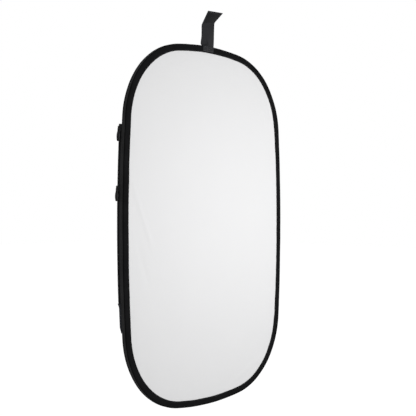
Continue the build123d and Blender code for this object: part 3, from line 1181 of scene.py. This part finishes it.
def stitch_line(start, end, pitch):
    """Places of stitches along a straight line on the tab's patch, in the panel's plane."""
    line = Vector((end[0] - start[0], 0, end[1] - start[1]))
    count = max(1, round(line.length / pitch))
    lie = line.to_track_quat("Z", "Y").to_matrix().to_4x4()
    depth = patch_low.y - 0.25 * MM
    return [
        Matrix.Translation(Vector((start[0], depth, start[1])) + line * ((k + 0.5) / count)) @ lie
        for k in range(count)
    ]


class REFLECTOR_OT_tab(bpy.types.Operator):
    """Make the hanging tab, its pad and the stitching that holds it"""

    bl_idname = "reflector.tab"
    bl_label = "Hanging Tab"

    def execute(self, context):
        sizes = context.scene.reflector_sizes
        section = tab_section(sizes)
        pivot = strap_low.z
        split = strap_high.z - pivot - 9 * MM
        tip = strap_high.z - pivot + 37 * MM
        foot = tab_frames(sizes, patch_low.z - pivot, split, 1.8 * MM)
        bm = sweep(section, foot, False)
        level = (strap_low.y + strap_high.y) / 2
        for vert in bm.verts:
            lift = ease(vert.co.z, patch_high.z, patch_high.z + 14 * MM)
            back = ease(vert.co.y, level, level + 1.2 * MM)
            back *= ease(vert.co.z, pivot - 1.0 * MM, pivot + 1.5 * MM)
            vert.co.y += 3.0 * MM * back * (1 - ease(vert.co.z, pivot + 2 * MM, pivot + 26 * MM))
            vert.co.y += 0.5 * MM * lift * ripple(vert.co, 0.03, 91.0)
        webbing = finish("tab_webbing")
        sewn = ("tab_patch", "tab_strap")
        lower = make_object(bm, "tab_webbing_foot", webbing, None, sewn, 60)
        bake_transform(lower)
        fold = tab_frames(sizes, split, tip, 1.5 * MM)
        bm = sweep(section, fold, False)
        upper = make_object(bm, "tab_webbing_end", webbing, None, ("tab_end",), 60)
        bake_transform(upper)
        self.pad(sizes, tip)
        self.box_stitch()
        return {"FINISHED"}

    def pad(self, sizes, tip):
        """The hook-and-loop pad on the front of the tab's end."""
        thick = (strap_high.y - strap_low.y) / 2
        half, back, front, radius = 16 * MM, -0.8 * MM, 0.3 * MM, 0.3 * MM
        outline = rounded_section(half, -half, back, front, radius)
        section = [(across, depth - thick) for across, depth in outline]
        bm = sweep(section, tab_frames(sizes, tip - 31 * MM, tip - 4 * MM, 1.5 * MM), False)
        make_object(bm, "tab_hook_pad", finish("hook_pad"), "tab_tip", ("tab_pad",))

    def box_stitch(self):
        """A sewn box with a cross in it on the tab's foot."""
        margin = 3.5 * MM
        left, right = patch_low.x + margin, patch_high.x - margin
        low, high = patch_low.z + 2.5 * MM, patch_high.z - 2.5 * MM
        corners = [(left, low), (right, low), (right, high), (left, high)]
        lines = list(zip(corners, corners[1:] + corners[:1]))
        lines += [(corners[0], corners[2]), (corners[1], corners[3])]
        places = [place for start, end in lines for place in stitch_line(start, end, 2.6 * MM)]
        thread = 0.6 * MM
        bm = repeat(bead(thread, thread, 2.2 * MM, thread * 0.3), places)
        make_object(bm, "tab_box_stitch", finish("tab_thread"), "cover")


# Stage.


def camera_at(distance, azimuth, elevation, across, up, lens):
    """A camera looking at the panel's front, with its middle moved in the frame."""
    data = bpy.data.cameras.new("camera")
    data.sensor_width = 36.0
    data.lens = lens
    data.dof.use_dof = False
    camera = bpy.data.objects.new("camera", data)
    turn_to = Matrix.Rotation(math.radians(azimuth), 4, "Z")
    turn_to @= Matrix.Rotation(math.radians(90 - elevation), 4, "X")
    place = turn_to @ Vector((-across, -up, distance))
    camera.matrix_world = Matrix.Translation(place + Vector((0, binding_low.y, 0))) @ turn_to
    bpy.context.scene.collection.objects.link(camera)
    bpy.context.scene.camera = camera


def soft_light(name, place, target, width, height, power):
    """A large softbox."""
    data = bpy.data.lights.new(name, "AREA")
    data.shape = "RECTANGLE"
    data.size = width
    data.size_y = height
    data.energy = power
    light = bpy.data.objects.new(name, data)
    aim = (Vector(target) - Vector(place)).to_track_quat("-Z", "Y").to_matrix().to_4x4()
    light.matrix_world = Matrix.Translation(Vector(place)) @ aim
    light.visible_camera = False
    bpy.context.scene.collection.objects.link(light)


def white_surroundings(shown, given):
    """A plain white world, with its own brightness for the camera and for lighting."""
    world = bpy.data.worlds.new("studio")
    bpy.context.scene.world = world
    world.use_nodes = True
    tree = world.node_tree
    light = tree.nodes["Background"]
    light.inputs["Color"].default_value = (1, 1, 1, 1)
    light.inputs["Strength"].default_value = given
    seen = add(tree, "ShaderNodeBackground", Color=(1, 1, 1, 1), Strength=shown)
    ray = tree.nodes.new("ShaderNodeLightPath")
    mixed = tree.nodes.new("ShaderNodeMixShader")
    tree.links.new(ray.outputs["Is Camera Ray"], mixed.inputs[0])
    tree.links.new(light.outputs[0], mixed.inputs[1])
    tree.links.new(seen.outputs[0], mixed.inputs[2])
    tree.links.new(mixed.outputs[0], tree.nodes["World Output"].inputs["Surface"])


class REFLECTOR_OT_stage(bpy.types.Operator):
    """Set up the floor, the light and the camera"""

    bl_idname = "reflector.stage"
    bl_label = "Stage"

    def execute(self, context):
        context.scene.view_settings.view_transform = "Standard"
        bm = bmesh.new()
        bmesh.ops.create_grid(bm, x_segments=4, y_segments=4, size=12.0)
        bmesh.ops.translate(bm, vec=(0, 0, cad_low.z - 0.3), verts=bm.verts)
        mesh = bpy.data.meshes.new("floor")
        bm.to_mesh(mesh)
        bm.free()
        floor = bpy.data.objects.new("floor", mesh)
        context.scene.collection.objects.link(floor)
        material, tree, main, _ = shader("pale_floor", 0.9, 0.0)
        main.inputs["Base Color"].default_value = (0.50, 0.50, 0.50, 1)
        main.inputs["Emission Color"].default_value = (1, 1, 1, 1)
        ray = tree.nodes.new("ShaderNodeLightPath")
        glow = add(tree, "ShaderNodeMapRange", Value=ray.outputs["Is Camera Ray"])
        glow.inputs["To Min"].default_value = 0.10
        glow.inputs["To Max"].default_value = 0.85
        tree.links.new(glow.outputs["Result"], main.inputs["Emission Strength"])
        mesh.materials.append(material)
        white_surroundings(shown=1.0, given=0.38)
        front, target = (0.20, -1.02, 0.08), (0.16, 0.0, 0.06)
        soft_light("softbox_front", front, target, width=1.3, height=0.45, power=10.0)
        camera_at(2.211, azimuth=-49.05, elevation=0.41, across=5.3 * MM, up=-43.6 * MM, lens=75.8)
        return {"FINISHED"}


class REFLECTOR_PT_panel(bpy.types.Panel):
    """Lists the reflector's operators and sizes"""

    bl_label = "Collapsible Reflector"
    bl_idname = "REFLECTOR_PT_panel"
    bl_space_type = "VIEW_3D"
    bl_region_type = "UI"
    bl_category = "Reflector"

    def draw(self, context):
        column = self.layout.column(align=True)
        for operator in OPERATORS:
            column.operator(operator.bl_idname)
        for group in (context.scene.reflector_sizes, context.scene.reflector_colours):
            for name in group.__annotations__:
                self.layout.prop(group, name)


OPERATORS = (
    REFLECTOR_OT_stage,
    REFLECTOR_OT_faces,
    REFLECTOR_OT_core,
    REFLECTOR_OT_bindings,
    REFLECTOR_OT_gusset,
    REFLECTOR_OT_zip,
    REFLECTOR_OT_sliders,
    REFLECTOR_OT_tab,
)
CLASSES = (ReflectorSizes, ReflectorColours, *OPERATORS, REFLECTOR_PT_panel)


def register():
    """Adds the classes and their settings to Blender."""
    for each in CLASSES:
        bpy.utils.register_class(each)
    bpy.types.Scene.reflector_sizes = bpy.props.PointerProperty(type=ReflectorSizes)
    bpy.types.Scene.reflector_colours = bpy.props.PointerProperty(type=ReflectorColours)


def unregister():
    """Takes them out again."""
    del bpy.types.Scene.reflector_colours
    del bpy.types.Scene.reflector_sizes
    for each in reversed(CLASSES):
        bpy.utils.unregister_class(each)


def main():
    """Makes every piece in order."""
    register()
    bpy.ops.reflector.stage()
    bpy.ops.reflector.faces()
    bpy.ops.reflector.core()
    bpy.ops.reflector.bindings()
    bpy.ops.reflector.gusset()
    bpy.ops.reflector.zip()
    bpy.ops.reflector.sliders()
    bpy.ops.reflector.tab()
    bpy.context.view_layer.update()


if __name__ == "__main__":
    main()
